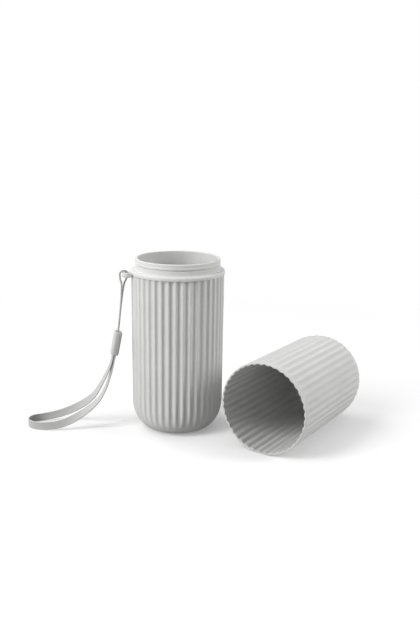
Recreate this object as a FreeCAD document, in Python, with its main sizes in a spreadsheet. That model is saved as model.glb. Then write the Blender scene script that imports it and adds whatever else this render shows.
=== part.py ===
"""Toothbrush travel case: a fluted cup with a smooth neck ring, its fluted cap lying beside it, and a wrist lanyard.

Millimetres, +Z up. The origin is the middle of the cup's foot, on the table. The lug points to -X and a little
towards -Y, and the cap lies towards +X and -Y with its mouth towards -Y.
"""
import FreeCAD
import Part
import Sketcher
import math
import os

Vector = FreeCAD.Vector
UP = Vector(0, 0, 1)

# Driving sizes, in millimetres, degrees or counts. A value whose name ends in share is a share of what it follows.
SIZES = [
    ("flute_count", 40, "flutes round the cup and round the cap"),
    ("crest_share", 0.46, "share of one flute's pitch that is the raised crest"),
    ("draft_angle", 0.2, "draft of the moulded walls, degrees a side"),
    ("fade_share", 0.58, "share of the rounded end's quarter turn over which the flutes fade out"),
    ("cup_height", 100.0, "table to the top edge of the fluted cup"),
    ("cup_crest_radius", 29.0, "outside of the cup's crests at its top edge"),
    ("cup_flute_depth", 1.1, "crest to valley"),
    ("cup_wall", 1.3, "wall of the cup, measured along a radius"),
    ("cup_floor", 1.6, "floor of the cup"),
    ("cup_shoulder_rise", 18.0, "height of the rounded lower end"),
    ("cup_shoulder_reach", 12.9, "how far the rounded lower end draws in"),
    ("cap_length", 91.3, "mouth to closed end"),
    ("cap_inset", 0.8, "how far the cap's crests at its mouth stand in from the cup's"),
    ("cap_flute_depth", 0.7, "crest to valley"),
    ("cap_wall", 0.75, "wall of the cap, measured along a radius"),
    ("cap_end_wall", 1.3, "wall of the cap's closed end"),
    ("cap_band", 2.0, "smooth band round the cap's mouth"),
    ("cap_band_fade", 2.5, "length over which the cap's flutes run out into that band"),
    ("cap_shoulder_rise", 16.6, "length of the rounded closed end"),
    ("cap_shoulder_reach", 12.8, "how far the rounded closed end draws in"),
    ("cap_clearance", 0.1, "radial room between the cap's bore and the lip"),
    ("cap_place_x", 52.2, "middle of the cap's mouth as it lies"),
    ("cap_place_y", -48.3, "middle of the cap's mouth as it lies"),
    ("cap_turn", 32.4, "degrees from +Y to the cap's axis, towards +X"),
    ("neck_wall", 1.6, "wall of the neck at the lip"),
    ("neck_height", 7.2, "collar top to rim"),
    ("neck_inset", 0.15, "how far the neck below the groove stands in from the lip"),
    ("lip_height", 3.5, "rim to the groove"),
    ("lip_round", 0.6, "rounding of the rim"),
    ("groove_height", 0.8, "groove under the lip"),
    ("groove_depth", 0.6, "groove under the lip"),
    ("collar_height", 2.4, "cup's top edge to the collar's top"),
    ("collar_overhang", 0.5, "collar beyond the cup's crests"),
    ("collar_round", 1.0, "rounding of the collar's upper edge"),
    ("spigot_depth", 6.0, "part of the neck ring that is pressed into the cup"),
    ("spigot_clearance", 0.05, "radial room between the spigot and the cup's inner crests"),
    ("lug_turn", 14.0, "degrees from -X to the lug, towards -Y"),
    ("lug_width", 6.4, "width of the lug"),
    ("lug_thickness", 2.9, "thickness of the lug"),
    ("lug_drop", 1.7, "lug's underside below the collar's underside"),
    ("lug_clearance", 0.2, "room between the lug and the cup's crests"),
    ("lug_bar", 2.0, "bar left outside the eye"),
    ("lug_round", 0.6, "rounding of the lug's edges and of its eye"),
    ("eye_radius", 1.4, "eye of the lug"),
    ("eye_gap", 0.7, "collar to the eye"),
    ("string_diameter", 1.2, "string of the lanyard"),
    ("string_clearance", 0.3, "room between the string and the lug's bar"),
    ("string_spacing", 1.6, "between the two strands in the sleeve"),
    ("string_seat", 5.0, "depth of the string's holes in the sleeve"),
    ("string_hole_clearance", 0.08, "radial room of the string in its holes"),
    ("sleeve_length", 15.0, "sleeve of the lanyard"),
    ("sleeve_thickness", 5.0, "sleeve across the strap's two layers"),
    ("sleeve_width", 7.0, "sleeve along the strap's width"),
    ("sleeve_round", 1.9, "rounding of the sleeve's long edges"),
    ("sleeve_end_round", 0.8, "rounding of the sleeve's ends"),
    ("sleeve_lean", 11.0, "degrees that the sleeve leans outwards as it hangs"),
    ("string_lean", 6.0, "degrees that the string leans outwards as it hangs"),
    ("string_reach", 36.0, "lug's bar down to the sleeve, along the string"),
    ("strap_width", 5.0, "flat wrist strap"),
    ("strap_thickness", 0.9, "flat wrist strap"),
    ("strap_seat", 8.0, "depth of the strap's slot in the sleeve"),
    ("strap_exit", 5.0, "straight stretch of the strap below the sleeve"),
    ("strap_gap", 0.3, "between the strap's two layers in the sleeve"),
    ("strap_slot_clearance", 0.05, "room of the strap in its slot"),
]

doc = FreeCAD.newDocument("travel_case")
sheet = doc.addObject("Spreadsheet::Sheet", "sizes")
for row, (alias, value, meaning) in enumerate(SIZES, start=1):
    sheet.set(f"A{row}", meaning)
    sheet.set(f"B{row}", str(value))
    sheet.setAlias(f"B{row}", alias)
doc.recompute()

# Sizes that follow from the driving ones, as expressions on the sheet.
CUP_CREST_RADIUS = "sizes.cup_crest_radius"
CAP_CREST_RADIUS = f"({CUP_CREST_RADIUS} - sizes.cap_inset)"
LIP_RADIUS = f"({CAP_CREST_RADIUS} - sizes.cap_flute_depth - sizes.cap_wall - sizes.cap_clearance)"
BORE_RADIUS = f"({LIP_RADIUS} - sizes.neck_wall)"
NECK_RADIUS = f"({LIP_RADIUS} - sizes.neck_inset)"
GROOVE_RADIUS = f"({LIP_RADIUS} - sizes.groove_depth)"
COLLAR_RADIUS = f"({CUP_CREST_RADIUS} + sizes.collar_overhang)"
SPIGOT_RADIUS = (
    f"({CUP_CREST_RADIUS} - sizes.cup_flute_depth - sizes.cup_wall - sizes.spigot_clearance"
    " - sizes.spigot_depth * tan(sizes.draft_angle * 1 deg))"
)
SPIGOT_FOOT = "(sizes.cup_height - sizes.spigot_depth)"
COLLAR_TOP = "(sizes.cup_height + sizes.collar_height)"
RIM = f"({COLLAR_TOP} + sizes.neck_height)"
GROOVE_TOP = f"({RIM} - sizes.lip_height)"
GROOVE_FOOT = f"({GROOVE_TOP} - sizes.groove_height)"
LUG_FOOT = "(sizes.cup_height - sizes.lug_drop)"
LUG_ROOT = f"({CUP_CREST_RADIUS} + sizes.lug_clearance)"
EYE_PLACE = f"({COLLAR_RADIUS} + sizes.eye_gap + sizes.eye_radius)"
BAR_PLACE = f"({EYE_PLACE} + sizes.eye_radius + sizes.lug_bar / 2)"
LUG_END = f"({EYE_PLACE} + sizes.eye_radius + sizes.lug_bar)"
BAR_CORNER = (
    "(sqrt((sizes.lug_bar / 2 - sizes.lug_round)^2 + (sizes.lug_thickness / 2 - sizes.lug_round)^2)"
    " + sizes.lug_round)"
)
STRING_LOOP = f"({BAR_CORNER} + sizes.string_clearance + sizes.string_diameter / 2)"


def size(expression):
    """The number that a sheet alias, or an expression on the sheet, stands for."""
    if expression.isidentifier():
        expression = f"sizes.{expression}"
    result = sheet.evalExpression(expression)
    return float(getattr(result, "Value", result))


def origin_plane(body, role):
    """One of the body's own origin planes."""
    return next(feature for feature in body.Origin.OriginFeatures if feature.Role == role)


def new_body(label):
    body = doc.addObject("PartDesign::Body", label)
    body.Label = label
    return body


def new_sketch(body, name, role, height=None):
    """A sketch on one of the body's origin planes, raised by an expression on the sheet."""
    sketch = body.newObject("Sketcher::SketchObject", name)
    sketch.AttachmentSupport = [(origin_plane(body, role), "")]
    sketch.MapMode = "FlatFace"
    if height is not None:
        sketch.setExpression("AttachmentOffset.Base.z", height)
    return sketch


def bind(sketch, constraint, expression):
    """Adds a dimension whose value follows an expression on the sheet."""
    index = sketch.addConstraint(constraint)
    sketch.setExpression(f"Constraints[{index}]", expression)


def outline(sketch, corners):
    """A closed outline of straight lines. Each corner is a pair of expressions, both positive."""
    points = [Vector(size(x), size(y), 0) for x, y in corners]
    count = len(points)
    for index in range(count):
        sketch.addGeometry(Part.LineSegment(points[index], points[(index + 1) % count]), False)
    for index, (x, y) in enumerate(corners):
        sketch.addConstraint(Sketcher.Constraint("Coincident", index - 1 if index else count - 1, 2, index, 1))
        bind(sketch, Sketcher.Constraint("DistanceX", -1, 1, index, 1, points[index].x), x)
        bind(sketch, Sketcher.Constraint("DistanceY", -1, 1, index, 1, points[index].y), y)


def rectangle(sketch, width, height):
    """A rectangle centred on the sketch's origin, from two expressions."""
    half_x = size(width) / 2
    half_y = size(height) / 2
    corners = [Vector(-half_x, -half_y), Vector(half_x, -half_y), Vector(half_x, half_y), Vector(-half_x, half_y)]
    for index in range(4):
        sketch.addGeometry(Part.LineSegment(corners[index], corners[(index + 1) % 4]), False)
    for index in range(4):
        sketch.addConstraint(Sketcher.Constraint("Coincident", index, 2, (index + 1) % 4, 1))
        sketch.addConstraint(Sketcher.Constraint("Vertical" if index % 2 else "Horizontal", index))
    sketch.addConstraint(Sketcher.Constraint("Symmetric", 0, 1, 1, 2, -1, 1))
    bind(sketch, Sketcher.Constraint("DistanceX", 0, 1, 0, 2, 2 * half_x), width)
    bind(sketch, Sketcher.Constraint("DistanceY", 1, 1, 1, 2, 2 * half_y), height)


def round_edges(body, name, base, radius, wanted):
    """Rounds the edges of a feature for which wanted(edge) is true."""
    names = [f"Edge{index}" for index, edge in enumerate(base.Shape.Edges, start=1) if wanted(edge)]
    fillet = body.newObject("PartDesign::Fillet", name)
    fillet.Base = (base, names)
    fillet.setExpression("Radius", radius)
    doc.recompute()
    return fillet


def flute_wire(crest_radius, depth, height):
    """A closed wavy ring: for each flute one arc over its crest and one through its valley."""
    count = int(size("flute_count"))
    pitch = 2 * math.pi / count
    half_crest = pitch * size("crest_share") / 2
    middle_radius = crest_radius - depth / 2

    def place(radius, angle):
        return Vector(radius * math.cos(angle), radius * math.sin(angle), height)

    edges = []
    for index in range(count):
        angle = index * pitch
        start = place(middle_radius, angle - half_crest)
        join = place(middle_radius, angle + half_crest)
        end = place(middle_radius, angle + pitch - half_crest)
        edges.append(Part.Arc(start, place(crest_radius, angle), join).toShape())
        edges.append(Part.Arc(join, place(crest_radius - depth, angle + pitch / 2), end).toShape())
    return Part.Wire(edges)


def fluted_skin(crest_radius, depth, mouth, centre_height, rise, reach, band=0, band_fade=0):
    """The faces of a fluted wall, drafted from the mouth down to centre_height, and of its rounded end.

    The rounded end is a quarter ellipse, reach by rise, and the flutes fade out along it. Where there is a band, the
    wall is smooth at the mouth and the flutes run out into it. The rings that close the mouth and the flat end come
    back with the faces.
    """
    slope = math.tan(math.radians(size("draft_angle")))

    def wall_ring(share, height):
        return flute_wire(crest_radius - (mouth - height) * slope, depth * share, height)

    shoulder_radius = crest_radius - (mouth - centre_height) * slope
    fade = size("fade_share") * math.pi / 2
    rings = []
    steps = 7
    for step in range(steps + 1):
        angle = math.pi / 2 * step / steps
        share = math.cos(min(angle / fade, 1) * math.pi / 2) ** 2
        radius = shoulder_radius - reach * (1 - math.cos(angle))
        rings.append(flute_wire(radius, depth * share, centre_height - rise * math.sin(angle)))
    faces = []
    mouth_ring = wall_ring(0 if band else 1, mouth)
    wall_top = mouth_ring
    if band:
        fade_steps = 4
        run_out = []
        for step in range(fade_steps + 1):
            share = (1 - math.cos(math.pi * step / fade_steps)) / 2
            run_out.append(wall_ring(share, mouth - band - band_fade * step / fade_steps))
        faces += Part.makeLoft([mouth_ring, run_out[0]], False, True).Faces
        faces += Part.makeLoft(run_out, False, False).Faces
        wall_top = run_out[-1]
    faces += Part.makeLoft([wall_top, rings[0]], False, True).Faces
    faces += Part.makeLoft(rings, False, False).Faces
    return faces, mouth_ring, rings[-1]


def fluted_shell(prefix, crest_radius, mouth, end_wall, band=0, band_fade=0):
    """A fluted cup standing on its closed end: two fluted skins, a wall apart, closed at the rim, floor and foot."""
    depth = size(f"{prefix}_flute_depth")
    wall = size(f"{prefix}_wall")
    rise = size(f"{prefix}_shoulder_rise")
    reach = size(f"{prefix}_shoulder_reach")
    outside, outer_rim, foot = fluted_skin(crest_radius, depth, mouth, rise, rise, reach, band, band_fade)
    inside, inner_rim, floor = fluted_skin(crest_radius - wall, depth, mouth, rise, rise - end_wall, reach - wall)
    rim = Part.makeFace([outer_rim, inner_rim], "Part::FaceMakerBullseye")
    shell = Part.makeShell(outside + inside + [rim, Part.Face(foot), Part.Face(floor)])
    shell.sewShape()
    return Part.makeSolid(shell)


def make_cup_shell():
    """The fluted cup, moulded in one piece, standing on its foot."""
    shell = doc.addObject("Part::Feature", "cup_shell")
    shell.Label = "cup_shell"
    shell.Shape = fluted_shell("cup", size(CUP_CREST_RADIUS), size("cup_height"), size("cup_floor"))
    return shell


def make_cap_shell():
    """The fluted cap, moulded in one piece with a smooth band at its mouth, lying along one of its crests."""
    shell = doc.addObject("Part::Feature", "cap_shell")
    shell.Label = "cap_shell"
    length = size("cap_length")
    crest_radius = size(CAP_CREST_RADIUS)
    end_wall = size("cap_end_wall")
    shell.Shape = fluted_shell("cap", crest_radius, length, end_wall, size("cap_band"), size("cap_band_fade"))
    draft = size("draft_angle")
    lay = FreeCAD.Rotation(UP, -size("cap_turn")) * FreeCAD.Rotation(Vector(1, 0, 0), 90 - draft)
    mouth_height = crest_radius * math.cos(math.radians(draft))
    mouth_place = Vector(size("cap_place_x"), size("cap_place_y"), mouth_height)
    shell.Placement = FreeCAD.Placement(mouth_place - lay.multVec(UP * length), lay)
    return shell


def make_neck_ring():
    """The smooth ring over the cup: spigot, collar, neck, groove and lip turned as one, with the lug beside it."""
    body = new_body("neck_ring")
    profile = new_sketch(body, "ring_profile", "XZ_Plane")
    outline(profile, [
        (BORE_RADIUS, SPIGOT_FOOT),
        (SPIGOT_RADIUS, SPIGOT_FOOT),
        (SPIGOT_RADIUS, "sizes.cup_height"),
        (COLLAR_RADIUS, "sizes.cup_height"),
        (COLLAR_RADIUS, COLLAR_TOP),
        (NECK_RADIUS, COLLAR_TOP),
        (NECK_RADIUS, GROOVE_FOOT),
        (GROOVE_RADIUS, GROOVE_FOOT),
        (GROOVE_RADIUS, GROOVE_TOP),
        (LIP_RADIUS, GROOVE_TOP),
        (LIP_RADIUS, RIM),
        (BORE_RADIUS, RIM),
    ])
    ring = body.newObject("PartDesign::Revolution", "ring")
    ring.Profile = profile
    ring.ReferenceAxis = (profile, ["V_Axis"])
    doc.recompute()

    def on_rim(edge):
        return edge.BoundBox.ZMin > size(RIM) - size("lip_round") / 2

    def on_collar(edge):
        above = edge.BoundBox.ZMin > size(COLLAR_TOP) - size("collar_height") / 2
        return above and edge.BoundBox.XMax > (size(NECK_RADIUS) + size(COLLAR_RADIUS)) / 2

    rim = round_edges(body, "rim_round", ring, "sizes.lip_round", on_rim)
    collar = round_edges(body, "collar_round", rim, "sizes.collar_round", on_collar)

    tab = new_sketch(body, "lug_outline", "XY_Plane", LUG_FOOT)
    half = size("lug_width") / 2
    root = -size(LUG_ROOT)
    centre = Vector(-size(LUG_END) + half, 0, 0)
    tab.addGeometry(Part.LineSegment(Vector(root, half, 0), Vector(centre.x, half, 0)), False)
    tab.addGeometry(Part.ArcOfCircle(Part.Circle(centre, UP, half), math.pi / 2, 3 * math.pi / 2), False)
    tab.addGeometry(Part.LineSegment(Vector(centre.x, -half, 0), Vector(root, -half, 0)), False)
    tab.addGeometry(Part.LineSegment(Vector(root, -half, 0), Vector(root, half, 0)), False)
    tab.addConstraint(Sketcher.Constraint("Tangent", 0, 2, 1, 1))
    tab.addConstraint(Sketcher.Constraint("Tangent", 1, 2, 2, 1))
    tab.addConstraint(Sketcher.Constraint("Coincident", 2, 2, 3, 1))
    tab.addConstraint(Sketcher.Constraint("Coincident", 3, 2, 0, 1))
    tab.addConstraint(Sketcher.Constraint("Vertical", 3))
    tab.addConstraint(Sketcher.Constraint("Horizontal", 0))
    tab.addConstraint(Sketcher.Constraint("PointOnObject", 1, 3, -1))
    bind(tab, Sketcher.Constraint("Radius", 1, half), "sizes.lug_width / 2")
    bind(tab, Sketcher.Constraint("DistanceX", 1, 3, -1, 1, -centre.x), f"{LUG_END} - sizes.lug_width / 2")
    bind(tab, Sketcher.Constraint("DistanceX", 3, 1, -1, 1, -root), LUG_ROOT)
    lug = body.newObject("PartDesign::Pad", "lug")
    lug.Profile = tab
    lug.setExpression("Length", "sizes.lug_thickness")
    doc.recompute()

    eye_sketch = new_sketch(body, "eye_outline", "XY_Plane", f"{LUG_FOOT} + sizes.lug_thickness")
    eye_sketch.addGeometry(Part.Circle(Vector(-size(EYE_PLACE), 0, 0), UP, size("eye_radius")), False)
    eye_sketch.addConstraint(Sketcher.Constraint("PointOnObject", 0, 3, -1))
    bind(eye_sketch, Sketcher.Constraint("DistanceX", 0, 3, -1, 1, size(EYE_PLACE)), EYE_PLACE)
    bind(eye_sketch, Sketcher.Constraint("Radius", 0, size("eye_radius")), "sizes.eye_radius")
    eye = body.newObject("PartDesign::Pocket", "eye")
    eye.Profile = eye_sketch
    eye.setExpression("Length", "sizes.lug_thickness")
    doc.recompute()

    lug_foot = size(LUG_FOOT)
    lug_top = lug_foot + size("lug_thickness")
    flat = size("neck_inset")

    def on_lug(edge):
        box = edge.BoundBox
        level = box.ZLength < flat and min(abs(box.ZMin - lug_foot), abs(box.ZMin - lug_top)) < flat
        return level and box.XMin < -size(EYE_PLACE)

    round_edges(body, "lug_round", eye, "sizes.lug_round", on_lug)
    body.Placement = FreeCAD.Placement(Vector(0, 0, 0), FreeCAD.Rotation(UP, size("lug_turn")))
    return body


turn = math.radians(size("lug_turn"))
OUTWARDS = Vector(-math.cos(turn), -math.sin(turn), 0)
ACROSS = Vector(-math.sin(turn), math.cos(turn), 0)
BAR = OUTWARDS * size(BAR_PLACE) + UP * (size(LUG_FOOT) + size("lug_thickness") / 2)


def hang(lean):
    """The direction of a thing that hangs down and leans outwards by so many degrees."""
    angle = math.radians(lean)
    return OUTWARDS * math.sin(angle) - UP * math.cos(angle)


SLEEVE_TOP = BAR + hang(size("string_lean")) * size("string_reach")
SLEEVE_AXIS = hang(size("sleeve_lean"))
SLEEVE_FOOT = SLEEVE_TOP + SLEEVE_AXIS * size("sleeve_length")
SLEEVE_SIDE = ACROSS.cross(SLEEVE_AXIS)


def make_lanyard_sleeve():
    """The flat sleeve of the lanyard: two holes for the string at its upper end, a slot for the strap at its lower."""
    body = new_body("lanyard_sleeve")
    section = new_sketch(body, "sleeve_section", "XY_Plane")
    rectangle(section, "sizes.sleeve_thickness", "sizes.sleeve_width")
    block = body.newObject("PartDesign::Pad", "sleeve_block")
    block.Profile = section
    block.setExpression("Length", "sizes.sleeve_length")
    doc.recompute()
    sides = round_edges(
        body, "sleeve_sides", block, "sizes.sleeve_round",
        lambda edge: edge.BoundBox.ZLength > size("sleeve_length") / 2,
    )
    ends = round_edges(
        body, "sleeve_ends", sides, "sizes.sleeve_end_round",
        lambda edge: edge.BoundBox.ZLength < size("sleeve_length") / 2,
    )
    slot_sketch = new_sketch(body, "slot_section", "XY_Plane", "sizes.sleeve_length")
    rectangle(
        slot_sketch,
        "2 * (sizes.strap_thickness + sizes.strap_slot_clearance) + sizes.strap_gap",
        "sizes.strap_width + 2 * sizes.strap_slot_clearance",
    )
    slot = body.newObject("PartDesign::Pocket", "strap_slot")
    slot.Profile = slot_sketch
    slot.setExpression("Length", "sizes.strap_seat")
    doc.recompute()
    holes_sketch = new_sketch(body, "string_holes_section", "XY_Plane")
    spacing = "sizes.string_spacing / 2"
    hole_radius = "sizes.string_diameter / 2 + sizes.string_hole_clearance"
    for index, side in enumerate((1, -1)):
        holes_sketch.addGeometry(Part.Circle(Vector(0, side * size(spacing), 0), UP, size(hole_radius)), False)
        holes_sketch.addConstraint(Sketcher.Constraint("PointOnObject", index, 3, -2))
        ends_order = (-1, 1, index, 3) if side > 0 else (index, 3, -1, 1)
        bind(holes_sketch, Sketcher.Constraint("DistanceY", *ends_order, size(spacing)), spacing)
        bind(holes_sketch, Sketcher.Constraint("Radius", index, size(hole_radius)), hole_radius)
    holes = body.newObject("PartDesign::Pocket", "string_holes")
    holes.Profile = holes_sketch
    holes.Reversed = True
    holes.setExpression("Length", "sizes.string_seat")
    doc.recompute()
    frame = FreeCAD.Rotation(SLEEVE_SIDE, ACROSS, SLEEVE_AXIS, "ZXY")
    body.Placement = FreeCAD.Placement(SLEEVE_TOP, frame)
    return body


# The string goes up from one hole of the sleeve, through the eye, over the lug's bar and down to the other hole.
# Each row is outwards from the middle of the bar, across, and up, as shares of the loop's radius.
STRING_LOOP_SHARES = [
    (0.08, 0.32, -2.3),
    (-0.92, 0.22, -0.9),
    (-1.02, 0.1, 1.02),
    (1.02, -0.1, 1.02),
    (1.02, -0.22, -1.1),
    (0.38, -0.32, -2.5),
]

# The strap leaves the sleeve's lower end, runs down to the table, turns there and runs back up, as the photograph
# shows it, in millimetres.
STRAP_ROUTE = [
    (-42.0, -10.8, 35.4),
    (-45.7, -11.7, 25.2),
    (-50.8, -12.7, 17.8),
    (-61.0, -14.2, 9.9),
    (-72.8, -15.4, 3.9),
    (-84.7, -15.3, 2.6),
    (-93.3, -12.4, 2.6),
    (-95.8, -6.8, 2.6),
    (-93.7, -1.0, 2.6),
    (-86.7, 1.6, 2.7),
    (-74.7, 1.2, 5.6),
    (-62.2, -0.9, 12.1),
    (-53.5, -3.4, 19.4),
    (-48.2, -6.0, 28.6),
    (-43.6, -8.2, 38.0),
]


def rounded_path(points):
    """Straight runs joined by tangent arcs, each arc as large as its two runs allow, and the arcs' radii."""
    run_share = 0.45
    edges = []
    radii = []
    start = points[0]
    for before, corner, after in zip(points, points[1:], points[2:]):
        back = before - corner
        ahead = after - corner
        bend = (math.pi - back.getAngle(ahead)) / 2
        reach = run_share * min(back.Length, ahead.Length)
        radius = reach / math.tan(bend)
        enter = corner + back.normalize() * reach
        leave = corner + ahead.normalize() * reach
        inward = (back + ahead).normalize()
        middle = corner + inward * (radius / math.cos(bend) - radius)
        edges.append(Part.LineSegment(start, enter).toShape())
        edges.append(Part.Arc(enter, middle, leave).toShape())
        radii.append(round(radius, 1))
        start = leave
    edges.append(Part.LineSegment(start, points[-1]).toShape())
    return Part.Wire(edges), radii


def make_lanyard_string():
    """The string of the lanyard, one tube from hole to hole."""
    string = doc.addObject("Part::Feature", "lanyard_string")
    string.Label = "lanyard_string"
    holes = [SLEEVE_TOP + ACROSS * (side * size("string_spacing") / 2) for side in (1, -1)]
    seat = SLEEVE_AXIS * size("string_seat")
    loop = []
    for out, across, up in STRING_LOOP_SHARES:
        loop.append(BAR + (OUTWARDS * out + ACROSS * across + UP * up) * size(STRING_LOOP))
    points = [holes[0] + seat, holes[0], *loop, holes[1], holes[1] + seat]
    path, radii = rounded_path(points)
    radius = size("string_diameter") / 2
    ring = Part.Wire(Part.Circle(points[0], points[1] - points[0], radius).toShape())
    string.Shape = path.makePipeShell([ring], True, False)
    share = string.Shape.Volume / (math.pi * radius ** 2 * path.Length)
    print(f"lanyard_string: length {path.Length:.1f}, volume share {share:.4f}, radii {radii}")
    return string


def make_wrist_strap():
    """The flat strap: both ends in the sleeve's slot, turned on edge where it lies on the table."""
    strap = doc.addObject("Part::Feature", "wrist_strap")
    strap.Label = "wrist_strap"
    width = size("strap_width")
    thickness = size("strap_thickness")
    layer = SLEEVE_SIDE * ((thickness + size("strap_gap")) / 2)
    route = [Vector(*point) for point in STRAP_ROUTE]
    exit_place = SLEEVE_FOOT + SLEEVE_AXIS * size("strap_exit")
    seat_place = SLEEVE_FOOT - SLEEVE_AXIS * size("strap_seat")
    down = [seat_place - layer, exit_place - layer]
    back_up = [exit_place + layer, seat_place + layer]
    points = [*down, *route, *back_up]
    path, radii = rounded_path(points)
    lowest = min(point.z for point in route)
    sections = []
    steps_per_arc = 5
    twist_power = 1.2

    def section(place, along):
        """A rectangle across the path. Its width turns from across the sleeve to upright as it comes down."""
        fall = min(max((SLEEVE_FOOT.z - place.z) / (SLEEVE_FOOT.z - lowest), 0), 1)
        angle = math.pi / 2 * fall ** twist_power
        wide = ACROSS * math.cos(angle) - UP * math.sin(angle)
        wide = (wide - along * wide.dot(along)).normalize() * (width / 2)
        thick = along.cross(wide).normalize() * (thickness / 2)
        corners = [place + wide + thick, place - wide + thick, place - wide - thick, place + wide - thick]
        return Part.makePolygon(corners + corners[:1])

    for edge in path.Edges:
        first, last = edge.ParameterRange
        count = steps_per_arc if edge.Curve.TypeId == "Part::GeomCircle" else 1
        for step in range(count):
            parameter = first + (last - first) * step / count
            sections.append(section(edge.valueAt(parameter), edge.tangentAt(parameter)))
    final = path.Edges[-1]
    sections.append(section(final.valueAt(final.LastParameter), final.tangentAt(final.LastParameter)))
    strap.Shape = Part.makeLoft(sections, True, True)
    share = strap.Shape.Volume / (width * thickness * path.Length)
    print(f"wrist_strap: length {path.Length:.1f}, volume share {share:.4f}, radii {radii}")
    return strap


parts = [
    make_cup_shell(),
    make_neck_ring(),
    make_cap_shell(),
    make_lanyard_sleeve(),
    make_lanyard_string(),
    make_wrist_strap(),
]
doc.recompute()

for item in doc.Objects:
    if "Invalid" in item.State or "Error" in item.State:
        raise RuntimeError(f"{item.Label} failed: {item.State}")
for part in parts:
    if part.Shape.isNull() or not part.Shape.isValid():
        raise RuntimeError(f"{part.Label} has no valid shape")

os.makedirs("parts", exist_ok=True)
for part in parts:
    part.Shape.exportStep(f"parts/{part.Label}.step")
    box = part.Shape.BoundBox
    print(part.Label, len(part.Shape.Solids), round(part.Shape.Volume, 1), f"z {box.ZMin:.2f} to {box.ZMax:.2f}")
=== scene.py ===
"""Looks of the toothbrush travel case, in metres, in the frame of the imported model.

A fluted cup with a smooth neck ring stands upright, its fluted cap lies beside it, and a wrist lanyard
hangs from the lug of the ring and lies on the table.
"""

import math

import bpy
import numpy as np
from mathutils import Matrix


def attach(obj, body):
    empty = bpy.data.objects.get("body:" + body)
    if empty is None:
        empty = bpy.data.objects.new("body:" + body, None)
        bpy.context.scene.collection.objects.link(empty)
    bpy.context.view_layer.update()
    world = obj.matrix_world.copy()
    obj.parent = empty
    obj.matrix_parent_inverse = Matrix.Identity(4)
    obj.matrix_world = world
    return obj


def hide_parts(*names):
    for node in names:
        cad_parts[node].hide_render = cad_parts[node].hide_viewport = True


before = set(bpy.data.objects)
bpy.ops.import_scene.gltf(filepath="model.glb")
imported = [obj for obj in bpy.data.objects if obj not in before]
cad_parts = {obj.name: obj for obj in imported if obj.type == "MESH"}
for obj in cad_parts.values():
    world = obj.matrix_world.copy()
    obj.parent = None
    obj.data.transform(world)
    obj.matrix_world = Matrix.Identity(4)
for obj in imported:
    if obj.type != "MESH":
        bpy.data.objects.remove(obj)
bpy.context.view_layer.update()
scene = bpy.context.scene
scene.view_settings.view_transform = "Standard"

# The viewpoint: a short telephoto lens half a metre in front of the case and a little above its rim.
# It looks down at the case and is turned very slightly about its line of sight.
frame_tall = 630
focal_pixels = 820
sensor_side = 36.0
camera_place = (0.0204, -0.5032, 0.1970)
camera_down = math.radians(13.845)
camera_roll = math.radians(0.7745)

camera_data = bpy.data.cameras.new("viewpoint")
camera_data.sensor_width = sensor_side
camera_data.lens = sensor_side * focal_pixels / frame_tall
camera = bpy.data.objects.new("viewpoint", camera_data)
scene.collection.objects.link(camera)
camera_turn = Matrix.Rotation(math.pi / 2 - camera_down, 4, "X") @ Matrix.Rotation(camera_roll, 4, "Z")
camera.matrix_world = Matrix.Translation(camera_place) @ camera_turn
scene.camera = camera

# The cup: one thin shell of light grey polypropylene, reeded inside and out, with a rounded shoulder and a
# flat foot. It is moulded round a core, so its walls have a little draft, and its flutes fade out round
# the shoulder.
flute_count = 40
flute_columns = 20
least_depth = 1e-8
bend_points = 25
wall_points = 9
run_out_points = 11
lip_points = 6
crest_share = 0.46
fade_share = 0.58
draft = math.tan(math.radians(0.2))
cup_height = 0.100
cup_crest = 0.029
cup_flute = 0.0011
cup_wall = 0.0013
cup_floor = 0.0016
cup_rise = 0.018
cup_reach = 0.0129
cup_lip = 0.0003
case_grey = (0.62, 0.62, 0.605, 1.0)
case_rough = 0.5
case_shine = 0.4
# Painted highlight: the flute crests are painted this much paler, and made this much smoother.
crest_highlight_and_gloss = 0.03
# Clouds and grain: scale, detail, lowest value and highest value.
broad_clouds = (40, 3, 0.965, 1.02)
fine_clouds = (420, 4, 0.985, 1.012)
gloss_clouds = (260, 3, -0.05, 0.06)
mould_grain = (1900, 2, 0, 1)
noise_floor = 0.3
noise_ceiling = 0.7
grain_strength = 0.25
grain_depth = 0.00012


def flute_height(angle, pitch, depth):
    """How far a fluted wall stands above its mean radius.

    Each flute is one arc over the crest, on crest_share of the pitch, and one through the valley on the rest.
    With half width a and half depth h an arc has the radius r = (a^2 + h^2) / 2h, and at the way x from its
    middle it stands sqrt(r^2 - x^2) - (r - h) high. A depth of nothing is taken as least_depth.
    """
    phase = angle * flute_count / (2 * np.pi)
    phase = phase - np.round(phase)
    rise = np.maximum(depth, least_depth) / 2
    on_crest = np.abs(phase) < crest_share / 2
    half = np.where(on_crest, crest_share, 1 - crest_share) * pitch / 2
    way = np.where(on_crest, np.abs(phase), 0.5 - np.abs(phase)) * pitch
    radius = (half ** 2 + rise ** 2) / (2 * rise)
    bulge = np.sqrt(np.maximum(radius ** 2 - way ** 2, 0)) - (radius - rise)
    return np.where(on_crest, bulge, -bulge)


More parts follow.
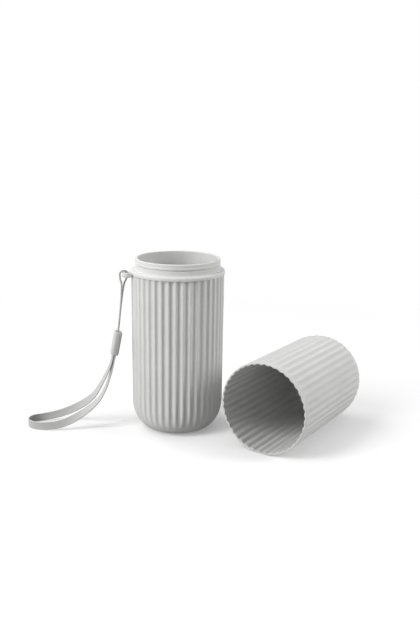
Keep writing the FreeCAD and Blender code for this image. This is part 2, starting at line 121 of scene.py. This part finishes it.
def shell_profile(height, crest, flute, wall, end_wall, rise, reach, lip, band=0.0, run_out=0.0):
    """Rows of crest radius, height and flute depth of a fluted shell.

    They go from the foot up a quarter ellipse, reach by rise, and the drafted wall, over the rounded lip and
    down the inside the same way. Along the ellipse the depth fades as a squared cosine that ends at
    fade_share of it. Where there is a band, the outside is smooth there and the flutes run out into it as
    half a cosine wave.
    """
    bend = np.linspace(0, np.pi / 2, bend_points)
    quarter = np.linspace(0, np.pi / 2, lip_points)
    fade = np.cos(np.clip(bend / (fade_share * np.pi / 2), 0, 1) * np.pi / 2) ** 2
    shoulder = crest - (height - rise) * draft
    wall_top = height - band - run_out - 4 * lip
    up = np.append(np.linspace(rise, wall_top, wall_points)[1:], height - 2 * lip)
    wall_depth = np.full(len(up), flute)
    lip_depth = np.full(len(quarter), flute)
    inside_depth = [lip_depth, wall_depth, flute * fade]
    if band:
        ease = np.linspace(0, 1, run_out_points)
        up = np.concatenate([up[:-1], height - band - run_out * (1 - ease), up[-1:]])
        wall_depth = np.concatenate([wall_depth[:-1], flute * (1 + np.cos(np.pi * ease)) / 2, [0]])
        inside_depth[1] = np.full(len(up), flute)
        lip_depth = np.zeros(len(quarter))
    outside = [
        (shoulder - reach * (1 - np.cos(bend)))[::-1],
        crest - (height - up) * draft,
        crest - lip * (1 - np.cos(quarter)),
    ]
    outside_up = [(rise * (1 - np.sin(bend)))[::-1], up, height - lip * (1 - np.sin(quarter))]
    inside = [
        crest - wall + lip * (1 - np.cos(quarter[::-1])),
        crest - wall - (height - up[::-1]) * draft,
        shoulder - wall - (reach - wall) * (1 - np.cos(bend)),
    ]
    inside_up = [
        height - lip * (1 - np.sin(quarter[::-1])),
        up[::-1],
        rise - (rise - end_wall) * np.sin(bend),
    ]
    depth = [flute * fade[::-1], wall_depth, lip_depth, *inside_depth]
    return np.concatenate(outside + inside), np.concatenate(outside_up + inside_up), np.concatenate(depth)


def surface(name, grid, start=None, end=None):
    """A mesh over a grid of points, rows by columns by three, whose columns close on themselves.

    The single points start and end close the first and the last row as fans. Without them the rows close on
    themselves too, as on a ring.
    """
    rows, columns = grid.shape[:2]
    index = np.arange(rows * columns).reshape(rows, columns)
    if start is None:
        index = np.vstack([index, index[:1]])
    beside = np.roll(index, -1, axis=1)
    faces = np.stack([index[:-1], beside[:-1], beside[1:], index[1:]], axis=-1).reshape(-1, 4).tolist()
    points = grid.reshape(-1, 3)
    if start is not None:
        first = np.full(columns, len(points))
        faces += np.stack([first, beside[0], index[0]], axis=-1).tolist()
        faces += np.stack([first + 1, index[-1], beside[-1]], axis=-1).tolist()
        points = np.vstack([points, start, end])
    mesh = bpy.data.meshes.new(name)
    mesh.from_pydata(points.tolist(), [], faces)
    mesh.polygons.foreach_set("use_smooth", np.ones(len(faces), bool))
    mesh.update()
    piece = bpy.data.objects.new(name, mesh)
    scene.collection.objects.link(piece)
    return piece


def point_values(piece, name, values):
    """Keeps one number, or one row of three, for each point of a piece, for its material to read."""
    kind = "FLOAT" if values.ndim == 1 else "FLOAT_VECTOR"
    field = "value" if values.ndim == 1 else "vector"
    attribute = piece.data.attributes.new(name, kind, "POINT")
    attribute.data.foreach_set(field, values.astype(np.float32).ravel())


def fluted_shell(name, place, height, crest, flute, *profile_sizes):
    """A fluted shell standing on its closed end, then put in place by the function place(points).

    A point lies at the radius crest(s) - depth(s) / 2 + flute_height(angle, pitch, depth) and at the height
    z(s). Its crest value goes from 0 in a valley to 1 on a crest, and is a half at the poles.
    """
    radius, level, depth = shell_profile(height, crest, flute, *profile_sizes)
    angle = np.arange(flute_count * flute_columns) * 2 * np.pi / (flute_count * flute_columns)
    pitch = 2 * np.pi * radius[:, None] / flute_count
    stand = flute_height(angle[None, :], pitch, depth[:, None])
    out = radius[:, None] - depth[:, None] / 2 + stand
    up = np.broadcast_to(level[:, None], out.shape)
    grid = np.stack([out * np.cos(angle), out * np.sin(angle), up], axis=-1)
    poles = place(np.array([[0, 0, level[0]], [0, 0, level[-1]]]))
    piece = surface(name, place(grid), poles[0], poles[1])
    crest_value = (0.5 + stand / flute).ravel()
    point_values(piece, "crest", np.concatenate([crest_value, [0.5, 0.5]]))
    return piece


def moulded_plastic(name, colour, rough, highlight_and_gloss):
    """Matt moulded plastic.

    Broad clouding of the colour, finer clouding of the gloss, and the fine grain of a blasted mould as bump.
    Where the piece has a crest value, its crests are painted a little paler, a painted highlight that lifts
    the flutes as light would, and are made a little smoother, by the amount of the last argument.
    """
    material = bpy.data.materials.new(name)
    material.use_nodes = True
    nodes = material.node_tree.nodes
    links = material.node_tree.links
    shader = nodes["Principled BSDF"]
    shader.inputs["Specular IOR Level"].default_value = case_shine
    place = nodes.new("ShaderNodeTexCoord")

    def noise(scale, detail, low, high):
        texture = nodes.new("ShaderNodeTexNoise")
        texture.inputs["Scale"].default_value = scale
        texture.inputs["Detail"].default_value = detail
        links.new(place.outputs["Object"], texture.inputs["Vector"])
        span = nodes.new("ShaderNodeMapRange")
        span.inputs["From Min"].default_value = noise_floor
        span.inputs["From Max"].default_value = noise_ceiling
        span.inputs["To Min"].default_value = low
        span.inputs["To Max"].default_value = high
        links.new(texture.outputs["Fac"], span.inputs["Value"])
        return span.outputs["Result"]

    def combine(operation, first, second):
        node = nodes.new("ShaderNodeMath")
        node.operation = operation
        links.new(first, node.inputs[0])
        if isinstance(second, float):
            node.inputs[1].default_value = second
        else:
            links.new(second, node.inputs[1])
        return node.outputs["Value"]

    clouding = combine("MULTIPLY", noise(*broad_clouds), noise(*fine_clouds))
    scale, detail, smoother, rougher = gloss_clouds
    gloss = noise(scale, detail, rough + smoother, rough + rougher)
    # Painted highlight on the crests: paler colour there, and a little less roughness.
    if highlight_and_gloss:
        crest_reading = nodes.new("ShaderNodeAttribute")
        crest_reading.attribute_name = "crest"
        highlight_and_smoothing = combine("MULTIPLY", crest_reading.outputs["Fac"], highlight_and_gloss)
        clouding = combine("ADD", clouding, highlight_and_smoothing)
        gloss = combine("SUBTRACT", gloss, highlight_and_smoothing)
    tint = nodes.new("ShaderNodeVectorMath")
    tint.operation = "SCALE"
    tint.inputs[0].default_value = colour[:3]
    links.new(clouding, tint.inputs["Scale"])
    links.new(tint.outputs["Vector"], shader.inputs["Base Color"])
    links.new(gloss, shader.inputs["Roughness"])
    bump = nodes.new("ShaderNodeBump")
    bump.inputs["Strength"].default_value = grain_strength
    bump.inputs["Distance"].default_value = grain_depth
    links.new(noise(*mould_grain), bump.inputs["Height"])
    links.new(bump.outputs["Normal"], shader.inputs["Normal"])
    return material


fluted_plastic = moulded_plastic("fluted_plastic", case_grey, case_rough, crest_highlight_and_gloss)
cup = fluted_shell(
    "fluted_cup", lambda points: points,
    cup_height, cup_crest, cup_flute, cup_wall, cup_floor, cup_rise, cup_reach, cup_lip,
)
cup.data.materials.append(fluted_plastic)
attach(cup, "cup")
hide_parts("cup_shell")

# The neck ring: a smooth moulded ring pressed into the cup's mouth. Above a broad rounded collar stand a
# short neck, a fine groove, a bead and the lip that the cap slips over. The lug for the lanyard is moulded
# on its side.
neck_bore = 0.02505
neck_spigot = 0.02652
neck_radius = 0.0265
groove_radius = 0.02605
bead_radius = 0.02665
lip_radius = 0.02645
collar_radius = 0.0295
spigot_foot = 0.094
collar_top = 0.1024
groove_foot = 0.1053
groove_top = 0.1061
bead_top = 0.1070
lip_foot = 0.1074
rim_height = 0.1096
fine_edge = 0.0002
collar_round = 0.0010
collar_root_round = 0.0005
rim_outer_round = 0.0006
rim_inner_round = 0.0005
ring_step = 0.0008
ring_columns = 288
corner_points = 8
lug_turn = math.radians(14)
lug_foot = 0.0983
lug_thick = 0.0029
lug_half = 0.0032
lug_end = 0.035
lug_root = 0.0292
lug_edge = 0.0006
eye_place = 0.0316
eye_radius = 0.0014
lug_columns = 72
lug_edge_points = 6
least_slope = 1e-6
# The ring's own grey, set a little paler than the case's so that the ring shows brighter: partly painted
# light.
neck_grey_and_painted_light = (0.66, 0.66, 0.645, 1.0)
neck_rough = 0.44


def rounded_outline(corners, longest):
    """A closed outline through corners, rows of across, up and rounding radius.

    Each corner becomes an arc that leaves its two sides at radius / tan(half the corner's angle), and
    straight stretches are divided so that no step is longer than longest.
    """
    corners = np.array(corners)
    spots = corners[:, :2]
    back = np.roll(spots, 1, axis=0) - spots
    ahead = np.roll(spots, -1, axis=0) - spots
    back /= np.linalg.norm(back, axis=1)[:, None]
    ahead /= np.linalg.norm(ahead, axis=1)[:, None]
    half = np.arccos(np.clip((back * ahead).sum(axis=1), -1, 1)) / 2
    reach = corners[:, 2] / np.tan(half)
    inward = back + ahead
    inward /= np.linalg.norm(inward, axis=1)[:, None]
    centre = spots + inward * (corners[:, 2] / np.sin(half))[:, None]
    sweep = (np.pi / 2 - half)[:, None] * np.linspace(-1, 1, corner_points)
    sideways = ahead - inward * (ahead * inward).sum(axis=1)[:, None]
    sideways /= np.linalg.norm(sideways, axis=1)[:, None]
    arcs = (
        centre[:, None, :]
        - corners[:, 2, None, None] * np.cos(sweep)[..., None] * inward[:, None, :]
        + corners[:, 2, None, None] * np.sin(sweep)[..., None] * sideways[:, None, :]
    )
    parts = []
    for arc, following in zip(arcs, np.roll(arcs, -1, axis=0)):
        steps = int(np.linalg.norm(following[0] - arc[-1]) // longest) + 1
        between = np.linspace(arc[-1], following[0], steps + 1)[1:-1]
        parts += [arc, between]
    return np.concatenate(parts)


def turned_ring(name, outline, columns):
    """A closed outline of radius and height, turned about the upright axis."""
    angle = np.arange(columns) * 2 * np.pi / columns
    out = outline[:, 0, None]
    up = np.broadcast_to(outline[:, 1, None], (len(outline), columns))
    return surface(name, np.stack([out * np.cos(angle), out * np.sin(angle), up], axis=-1))


def lug_points(columns):
    """The lug, a flat tongue round an eye, as rows round its section by columns round the eye.

    From the eye's middle the tongue reaches, in each direction, to its half-round end, its straight sides or
    its root inside the collar. The section is a rounded bar between the eye's wall and that reach.
    """
    around = np.arange(columns) * 2 * np.pi / columns
    cosine = np.cos(around)
    sine = np.sin(around)
    offset = lug_end - lug_half - eye_place
    round_end = offset * cosine + np.sqrt(lug_half ** 2 - (offset * sine) ** 2)
    sides = lug_half / np.maximum(np.abs(sine), least_slope)
    root = (eye_place - lug_root) / np.maximum(-cosine, least_slope)
    reach = np.where(round_end * cosine > offset, round_end, np.minimum(sides, root))
    arc = np.linspace(0, np.pi / 2, lug_edge_points)
    drawn_in = lug_edge * (1 - np.sin(arc))
    drop = lug_edge * (1 - np.cos(arc))
    outer_in = np.concatenate([drawn_in, drawn_in[::-1]])
    outer_up = np.concatenate([drop, lug_thick - drop[::-1]])
    inner_up = outer_up[::-1]
    outer = eye_reach(reach[None, :] - outer_in[:, None], outer_up, cosine, sine)
    inner = eye_reach(eye_radius + outer_in[:, None] * np.ones_like(reach), inner_up, cosine, sine)
    return np.concatenate([outer, inner])


def eye_reach(reach, up, cosine, sine):
    """Points at a reach from the eye's middle and up from the lug's underside, turned with the lug."""
    out = eye_place + reach * cosine
    across = reach * sine
    x = -out * math.cos(lug_turn) - across * math.sin(lug_turn)
    y = -out * math.sin(lug_turn) + across * math.cos(lug_turn)
    return np.stack([x, y, np.broadcast_to(lug_foot + up[:, None], x.shape)], axis=-1)


ring_outline = rounded_outline([
    (neck_bore, spigot_foot, fine_edge),
    (neck_spigot, spigot_foot, fine_edge),
    (neck_spigot, cup_height, fine_edge),
    (collar_radius, cup_height, fine_edge),
    (collar_radius, collar_top, collar_round),
    (neck_radius, collar_top, collar_root_round),
    (neck_radius, groove_foot, fine_edge),
    (groove_radius, groove_foot, fine_edge),
    (groove_radius, groove_top, fine_edge),
    (bead_radius, groove_top, fine_edge),
    (bead_radius, bead_top, fine_edge),
    (lip_radius, lip_foot, fine_edge),
    (lip_radius, rim_height, rim_outer_round),
    (neck_bore, rim_height, rim_inner_round),
], ring_step)
smooth_plastic = moulded_plastic("smooth_plastic", neck_grey_and_painted_light, neck_rough, 0.0)
neck = turned_ring("neck_band", ring_outline, ring_columns)
lug = surface("lanyard_lug", lug_points(lug_columns))
for piece in (neck, lug):
    piece.data.materials.append(smooth_plastic)
    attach(piece, "cup")
    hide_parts("neck_ring")

# The string: a thin twisted cord, doubled through the eye of the lug and over its bar, with both ends held
# in the sleeve. It hangs straight, because the sleeve and the strap pull it down.
string_route = [
    (-0.03776, -0.00859, 0.05904),
    (-0.03683, -0.00836, 0.06395),
    (-0.03337, -0.00752, 0.09414),
    (-0.03094, -0.00716, 0.09755),
    (-0.03063, -0.00739, 0.10224),
    (-0.03535, -0.00906, 0.10224),
    (-0.03527, -0.00935, 0.09707),
    (-0.03370, -0.00921, 0.09365),
    (-0.03645, -0.00991, 0.06395),
    (-0.03737, -0.01014, 0.05904),
]
string_diameter = 0.0012
string_lay = 0.0032
string_plies = 3
ply_dip_share = 0.22
ply_dip_power = 3
string_step = 0.0002
string_columns = 18
curve_steps = 24
string_grey = (0.50, 0.50, 0.49)
string_threads = 2600
thread_rough = 0.75
thread_shine = 0.25
thread_sheen = 0.15
sheen_rough = 0.5
fuzz_scale = 900
fuzz_share = 0.35
thread_dark = 0.72
thread_bright = 1.05
thread_strength = 0.5
thread_depth = 0.0001
waves_at_scale_one = 3.183


def smooth_line(name, route, steps):
    """Points along the NURBS spline whose control points are the route."""
    line = bpy.data.curves.new(name, "CURVE")
    line.dimensions = "3D"
    line.resolution_u = steps
    spline = line.splines.new("NURBS")
    spline.points.add(len(route) - 1)
    spline.points.foreach_set("co", np.column_stack([route, np.ones(len(route))]).ravel())
    spline.order_u = 3
    spline.use_endpoint_u = True
    holder = bpy.data.objects.new(name, line)
    scene.collection.objects.link(holder)
    mesh = bpy.data.meshes.new_from_object(holder)
    points = np.empty(len(mesh.vertices) * 3)
    mesh.vertices.foreach_get("co", points)
    bpy.data.objects.remove(holder)
    bpy.data.curves.remove(line)
    bpy.data.meshes.remove(mesh)
    return points.reshape(-1, 3)


def travel(points):
    """The length along a line of points, from its first point to each."""
    steps = np.linalg.norm(np.diff(points, axis=0), axis=1)
    return np.concatenate([[0], np.cumsum(steps)])


def even_line(points, step):
    """The same line with its points an even step apart."""
    along = travel(points)
    wanted = np.linspace(0, along[-1], int(along[-1] / step) + 1)
    return np.stack([np.interp(wanted, along, points[:, axis]) for axis in range(3)], axis=-1)


def directions(points):
    """The unit direction of a line at each of its points."""
    ahead = np.gradient(points, axis=0)
    return ahead / np.linalg.norm(ahead, axis=1)[:, None]


def thread_material(name, colour, weave):
    """Matt thread, whose pattern shades its colour and its bump.

    weave(nodes, links, place) gives the height of the pattern. place is the piece's own attribute of length
    along, way across and way through, in metres.
    """
    material = bpy.data.materials.new(name)
    material.use_nodes = True
    nodes = material.node_tree.nodes
    links = material.node_tree.links
    shader = nodes["Principled BSDF"]
    shader.inputs["Roughness"].default_value = thread_rough
    shader.inputs["Specular IOR Level"].default_value = thread_shine
    shader.inputs["Sheen Weight"].default_value = thread_sheen
    shader.inputs["Sheen Roughness"].default_value = sheen_rough
    place = nodes.new("ShaderNodeAttribute")
    place.attribute_name = "lengthwise"
    height = weave(nodes, links, place.outputs["Vector"])
    fuzz = nodes.new("ShaderNodeTexNoise")
    fuzz.inputs["Scale"].default_value = fuzz_scale
    links.new(place.outputs["Vector"], fuzz.inputs["Vector"])
    uneven = nodes.new("ShaderNodeMath")
    uneven.operation = "MULTIPLY_ADD"
    uneven.inputs[1].default_value = fuzz_share
    links.new(fuzz.outputs["Fac"], uneven.inputs[0])
    links.new(height, uneven.inputs[2])
    shade = nodes.new("ShaderNodeMapRange")
    shade.inputs["To Min"].default_value = thread_dark
    shade.inputs["To Max"].default_value = thread_bright
    links.new(uneven.outputs["Value"], shade.inputs["Value"])
    tint = nodes.new("ShaderNodeVectorMath")
    tint.operation = "SCALE"
    tint.inputs[0].default_value = colour
    links.new(shade.outputs["Result"], tint.inputs["Scale"])
    links.new(tint.outputs["Vector"], shader.inputs["Base Color"])
    bump = nodes.new("ShaderNodeBump")
    bump.inputs["Strength"].default_value = thread_strength
    bump.inputs["Distance"].default_value = thread_depth
    links.new(uneven.outputs["Value"], bump.inputs["Height"])
    links.new(bump.outputs["Normal"], shader.inputs["Normal"])
    return material


def wave(nodes, links, place, direction, threads):
    """A sine ripple along one direction of the piece, with so many threads to the metre, from 0 to 1."""
    ripple = nodes.new("ShaderNodeTexWave")
    ripple.bands_direction = direction
    ripple.inputs["Scale"].default_value = threads / waves_at_scale_one
    ripple.inputs["Detail"].default_value = 0.0
    links.new(place, ripple.inputs["Vector"])
    return ripple.outputs["Fac"]


def string_fibres(nodes, links, place):
    """Fine fibres that run slantwise round the string."""
    return wave(nodes, links, place, "DIAGONAL", string_threads)


def twisted_string(name, line, columns):
    """A tube of plies round a line.

    Its radius dips by ply_dip_share between the plies, and the dips turn once per lay.
    """
    ahead = directions(line)
    aside = np.cross(ahead, (math.sin(lug_turn), -math.cos(lug_turn), 0.0))
    aside /= np.linalg.norm(aside, axis=1)[:, None]
    third = np.cross(ahead, aside)
    along = travel(line)
    angle = np.arange(columns) * 2 * np.pi / columns
    turned = angle[None, :] - 2 * np.pi * along[:, None] / string_lay
    dip = np.abs(np.sin(turned * string_plies / 2)) ** ply_dip_power
    radius = string_diameter / 2 * (1 - ply_dip_share * dip)
    across = radius * np.cos(angle)
    through = radius * np.sin(angle)
    grid = line[:, None, :] + across[..., None] * aside[:, None, :] + through[..., None] * third[:, None, :]
    piece = surface(name, grid, line[0], line[-1])
    ways = [np.broadcast_to(along[:, None], across.shape), across, through]
    lengthwise = np.stack(ways, axis=-1).reshape(-1, 3)
    ends = np.array([[0, 0, 0], [along[-1], 0, 0]])
    point_values(piece, "lengthwise", np.concatenate([lengthwise, ends]))
    return piece


string_line = even_line(smooth_line("string_route", string_route, curve_steps), string_step)
string = twisted_string("twisted_string", string_line, string_columns)
string.data.materials.append(thread_material("string_thread", string_grey, string_fibres))
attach(string, "lanyard")
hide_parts("lanyard_string")

# The sleeve: a small flat moulded sleeve that holds the string's two ends from above and the strap's two
# layers from below. Its long edges are well rounded, and both of its ends are dished round what goes in.
sleeve_top = np.array((-0.036641, -0.009136, 0.063947))
sleeve_axis = np.array((-0.185141, -0.046161, -0.981627))
sleeve_across = np.array((-math.sin(lug_turn), math.cos(lug_turn), 0.0))
sleeve_side = np.cross(sleeve_across, sleeve_axis)
sleeve_length = 0.0150
sleeve_thick = 0.005
sleeve_width = 0.007
sleeve_round = 0.0019
sleeve_end_round = 0.0008
sleeve_dish = 0.0007
dish_share = 0.95
sleeve_columns = 48
sleeve_edge_points = 7
sleeve_wall_points = 9
sleeve_grey = (0.55, 0.55, 0.54, 1.0)


def rounded_sleeve(name, columns):
    """A bar of rounded section, drawn in at both ends along quarter circles, with dished ends.

    A section point is the corner of an inner rectangle in its quadrant plus a circle of the rounding's
    radius. The dishes reach in over dish_share of that rounding.
    """
    angle = (np.arange(columns) + 0.5) * 2 * np.pi / columns
    arc = np.linspace(0, np.pi / 2, sleeve_edge_points)
    inset = sleeve_end_round * (1 - np.sin(arc))
    level = sleeve_end_round * (1 - np.cos(arc))
    middle = np.linspace(sleeve_end_round, sleeve_length - sleeve_end_round, sleeve_wall_points)[1:-1]
    dish = [sleeve_round * dish_share]
    inset = np.concatenate([dish, inset, np.zeros(len(middle)), inset[::-1], dish])
    level = np.concatenate([
        [sleeve_dish], level, middle, sleeve_length - level[::-1], [sleeve_length - sleeve_dish],
    ])
    rounding = sleeve_round - inset[:, None]
    thick = (sleeve_thick / 2 - sleeve_round) * np.sign(np.cos(angle)) + rounding * np.cos(angle)
    wide = (sleeve_width / 2 - sleeve_round) * np.sign(np.sin(angle)) + rounding * np.sin(angle)
    grid = (
        sleeve_top
        + level[:, None, None] * sleeve_axis
        + thick[..., None] * sleeve_side
        + wide[..., None] * sleeve_across
    )
    ends = sleeve_top + np.array([[sleeve_dish], [sleeve_length - sleeve_dish]]) * sleeve_axis
    return surface(name, grid, ends[0], ends[1])


sleeve = rounded_sleeve("lanyard_slider", sleeve_columns)
sleeve.data.materials.append(moulded_plastic("sleeve_plastic", sleeve_grey, case_rough, 0.0))
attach(sleeve, "lanyard")
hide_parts("lanyard_sleeve")

# The wrist strap: one flat woven tape, both of its ends in the sleeve. It hangs down from the sleeve, turns
# onto its edge as it comes to the table, lies there in a narrow loop and runs back up.
strap_route = [
    (-0.03737, -0.00932, 0.05696),
    (-0.03977, -0.00992, 0.04420),
    (-0.0420, -0.0108, 0.0354),
    (-0.0457, -0.0117, 0.0252),
    (-0.0508, -0.0127, 0.0178),
    (-0.0610, -0.0142, 0.0099),
    (-0.0728, -0.0154, 0.0039),
    (-0.0847, -0.0153, 0.0026),
    (-0.0933, -0.0124, 0.0026),
    (-0.0958, -0.0068, 0.0026),
    (-0.0937, -0.0010, 0.0026),
    (-0.0867, 0.0016, 0.0027),
    (-0.0747, 0.0012, 0.0056),
    (-0.0622, -0.0009, 0.0121),
    (-0.0535, -0.0034, 0.0194),
    (-0.0482, -0.0060, 0.0286),
    (-0.0436, -0.0082, 0.0380),
    (-0.04092, -0.01020, 0.04443),
    (-0.03851, -0.00960, 0.05719),
]
strap_width = 0.005
strap_thick = 0.0009
front_twist_power = 3.0
rear_twist_power = 1.4
strap_middle_share = 0.78
selvedge_power = 6
strap_step = 0.0006
strap_flat_points = 13
strap_edge_points = 9
strap_grey = (0.60, 0.60, 0.59)
strap_cords = 1400
strap_wefts = 1700


def strap_weave(nodes, links, place):
    """Lengthwise cords of the tape crossed by its finer weft."""
    cords = wave(nodes, links, place, "Y", strap_cords)
    weft = wave(nodes, links, place, "X", strap_wefts)
    both = nodes.new("ShaderNodeMath")
    both.operation = "MULTIPLY"
    links.new(cords, both.inputs[0])
    links.new(weft, both.inputs[1])
    return both.outputs["Value"]


def woven_strap(name, line):
    """A flat tape along a line.

    Its width turns from across the sleeve to upright as the tape comes down, by a quarter turn times a power
    of the share of the fall, and back as it climbs. The power is front_twist_power on the way to the far end
    of the loop and rear_twist_power beyond. The section is flat, with half-round edges. Its middle is
    strap_middle_share as thick as its edges.
    """
    ahead = directions(line)
    along = travel(line)
    foot_level = (sleeve_top + sleeve_length * sleeve_axis)[2]
    fall = np.clip((foot_level - line[:, 2]) / (foot_level - line[:, 2].min()), 0, 1)
    in_front = np.arange(len(line)) < line[:, 0].argmin()
    turn = np.pi / 2 * fall ** np.where(in_front, front_twist_power, rear_twist_power)
    upright = np.array((0.0, 0.0, 1.0))
    wide = np.cos(turn)[:, None] * sleeve_across + np.sin(turn)[:, None] * upright
    wide -= ahead * (wide * ahead).sum(axis=1)[:, None]
    wide /= np.linalg.norm(wide, axis=1)[:, None]
    thick = np.cross(ahead, wide)
    half = strap_thick / 2
    flat = np.linspace(-1, 1, strap_flat_points) * (strap_width / 2 - half)
    edge = np.linspace(0, np.pi, strap_edge_points)[1:-1]
    thicker = (1 - strap_middle_share) * np.abs(flat / flat[-1]) ** selvedge_power
    selvedge = half * (strap_middle_share + thicker)
    across = np.concatenate([flat, flat[-1] + half * np.sin(edge), flat[::-1], flat[0] - half * np.sin(edge)])
    through = np.concatenate([selvedge, half * np.cos(edge), -selvedge, -half * np.cos(edge)])
    grid = line[:, None, :] + across[:, None] * wide[:, None, :] + through[:, None] * thick[:, None, :]
    piece = surface(name, grid, line[0], line[-1])
    ways = [np.broadcast_to(way, grid.shape[:2]) for way in (along[:, None], across, through)]
    lengthwise = np.stack(ways, axis=-1).reshape(-1, 3)
    ends = np.array([[0, 0, 0], [along[-1], 0, 0]])
    point_values(piece, "lengthwise", np.concatenate([lengthwise, ends]))
    return piece


strap_line = even_line(smooth_line("strap_route", strap_route, curve_steps), strap_step)
strap = woven_strap("woven_wrist_strap", strap_line)
strap.data.materials.append(thread_material("strap_weave", strap_grey, strap_weave))
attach(strap, "lanyard")
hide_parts("wrist_strap")

# The cap: a shell like the cup's, thinner and a little smaller, with shallower flutes that run out into a
# smooth band at its mouth. It is taken off and lies on its side on one of its crests, its mouth towards the
# left front.
cap_length = 0.0913
cap_crest = 0.0282
cap_flute = 0.0007
cap_wall = 0.00075
cap_end_wall = 0.0013
cap_rise = 0.0166
cap_reach = 0.0128
cap_lip = 0.0003
cap_band = 0.0020
cap_run_out = 0.0025
cap_turn = math.radians(32.4)
cap_mouth = np.array((0.0522, -0.0483, cap_crest))


def lay_cap(points):
    """Lays an upright cap on its side.

    It is tipped by a quarter turn less the draft, turned, and put where its mouth belongs.
    """
    tip = math.pi / 2 - math.atan(draft)
    turn = np.array(Matrix.Rotation(-cap_turn, 3, "Z") @ Matrix.Rotation(tip, 3, "X"))
    return cap_mouth + (points - np.array((0, 0, cap_length))) @ turn.T


cap = fluted_shell(
    "fluted_cap", lay_cap,
    cap_length, cap_crest, cap_flute, cap_wall, cap_end_wall, cap_rise, cap_reach, cap_lip,
    cap_band, cap_run_out,
)
cap.data.materials.append(fluted_plastic)
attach(cap, "cap")
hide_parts("cap_shell")

# The studio: a white table that fades into a white background. A soft light stands low at the left in front,
# with a small one above it. Others stand at the right, at the back and overhead, and a little light comes
# from all round.
table_half = 4.0
table_drop = 0.00005
table_white = 1.0
table_pale = 0.45
shadow_reach = 0.22
shadow_end = 0.42
shadow_lift = 0.26
room_light = 0.11
room_white = 1.0
light_aim = (0.02, -0.01, 0.05)
# Lamps: name, place, width, height and watts.
lamps = [
    ("key_light", (-0.922, -0.554, 0.557), 0.6, 0.8, 9.4),
    ("front_light", (-0.588, -0.485, 0.97), 0.4, 0.4, 3.4),
    ("back_light", (-0.607, 0.382, 0.996), 0.6, 0.9, 4.2),
    ("right_light", (1.103, -0.105, 0.557), 0.5, 0.5, 7.3),
    ("top_light", (0.02, -0.012, 1.25), 1.6, 1.6, 4.9),
]


def seen_rays(nodes, links):
    """1 for a ray that is seen, by the camera, in a gloss or through something clear, and 0 for the rest."""
    path = nodes.new("ShaderNodeLightPath")
    seen = path.outputs["Is Camera Ray"]
    for kind in ("Is Glossy Ray", "Is Transmission Ray"):
        either = nodes.new("ShaderNodeMath")
        either.operation = "MAXIMUM"
        links.new(seen, either.inputs[0])
        links.new(path.outputs[kind], either.inputs[1])
        seen = either.outputs["Value"]
    return seen


def white_table():
    """Matt table top that takes shadows near the case and fades to plain white further out.

    Where it is seen it is table_white, and to the light that it throws back onto the case it is table_pale.
    """
    material = bpy.data.materials.new("white_table")
    material.use_nodes = True
    nodes = material.node_tree.nodes
    links = material.node_tree.links
    nodes.remove(nodes["Principled BSDF"])
    output = nodes["Material Output"]
    matt = nodes.new("ShaderNodeBsdfDiffuse")
    white = nodes.new("ShaderNodeEmission")
    rays = seen_rays(nodes, links)
    tone = nodes.new("ShaderNodeMapRange")
    tone.inputs["To Min"].default_value = table_pale
    tone.inputs["To Max"].default_value = table_white
    links.new(rays, tone.inputs["Value"])
    links.new(tone.outputs["Result"], matt.inputs["Color"])
    place = nodes.new("ShaderNodeTexCoord")
    away = nodes.new("ShaderNodeVectorMath")
    away.operation = "LENGTH"
    links.new(place.outputs["Object"], away.inputs[0])
    fade = nodes.new("ShaderNodeMapRange")
    fade.interpolation_type = "SMOOTHSTEP"
    fade.inputs["From Min"].default_value = shadow_reach
    fade.inputs["From Max"].default_value = shadow_end
    fade.inputs["To Min"].default_value = shadow_lift
    links.new(away.outputs["Value"], fade.inputs["Value"])
    seen = nodes.new("ShaderNodeMath")
    seen.operation = "MULTIPLY"
    links.new(fade.outputs["Result"], seen.inputs[0])
    links.new(rays, seen.inputs[1])
    mix = nodes.new("ShaderNodeMixShader")
    links.new(seen.outputs["Value"], mix.inputs["Fac"])
    links.new(matt.outputs["BSDF"], mix.inputs[1])
    links.new(white.outputs["Emission"], mix.inputs[2])
    links.new(mix.outputs["Shader"], output.inputs["Surface"])
    return material


def soft_light(name, place, wide, tall, power):
    """A soft light, wide by tall, that faces the middle of the case."""
    data = bpy.data.lights.new(name, "AREA")
    data.shape = "RECTANGLE"
    data.size = wide
    data.size_y = tall
    data.energy = power
    lamp = bpy.data.objects.new(name, data)
    scene.collection.objects.link(lamp)
    lamp.location = place
    toward = Matrix.Translation(light_aim).translation - lamp.location
    lamp.rotation_euler = toward.to_track_quat("-Z", "Y").to_euler()


def white_room():
    """White where the camera or a gloss sees it, and an even light of room_light on everything."""
    world = bpy.data.worlds.new("white_room")
    scene.world = world
    world.use_nodes = True
    nodes = world.node_tree.nodes
    links = world.node_tree.links
    background = nodes["Background"]
    background.inputs["Color"].default_value = (1.0, 1.0, 1.0, 1.0)
    strength = nodes.new("ShaderNodeMapRange")
    strength.inputs["To Min"].default_value = room_light
    strength.inputs["To Max"].default_value = room_white
    links.new(seen_rays(nodes, links), strength.inputs["Value"])
    links.new(strength.outputs["Result"], background.inputs["Strength"])


table_mesh = bpy.data.meshes.new("table")
table_corners = [(-1, -1), (1, -1), (1, 1), (-1, 1)]
table_points = [(x * table_half, y * table_half, -table_drop) for x, y in table_corners]
table_mesh.from_pydata(table_points, [], [(0, 1, 2, 3)])
table = bpy.data.objects.new("table", table_mesh)
table.data.materials.append(white_table())
scene.collection.objects.link(table)
white_room()
for lamp in lamps:
    soft_light(*lamp)
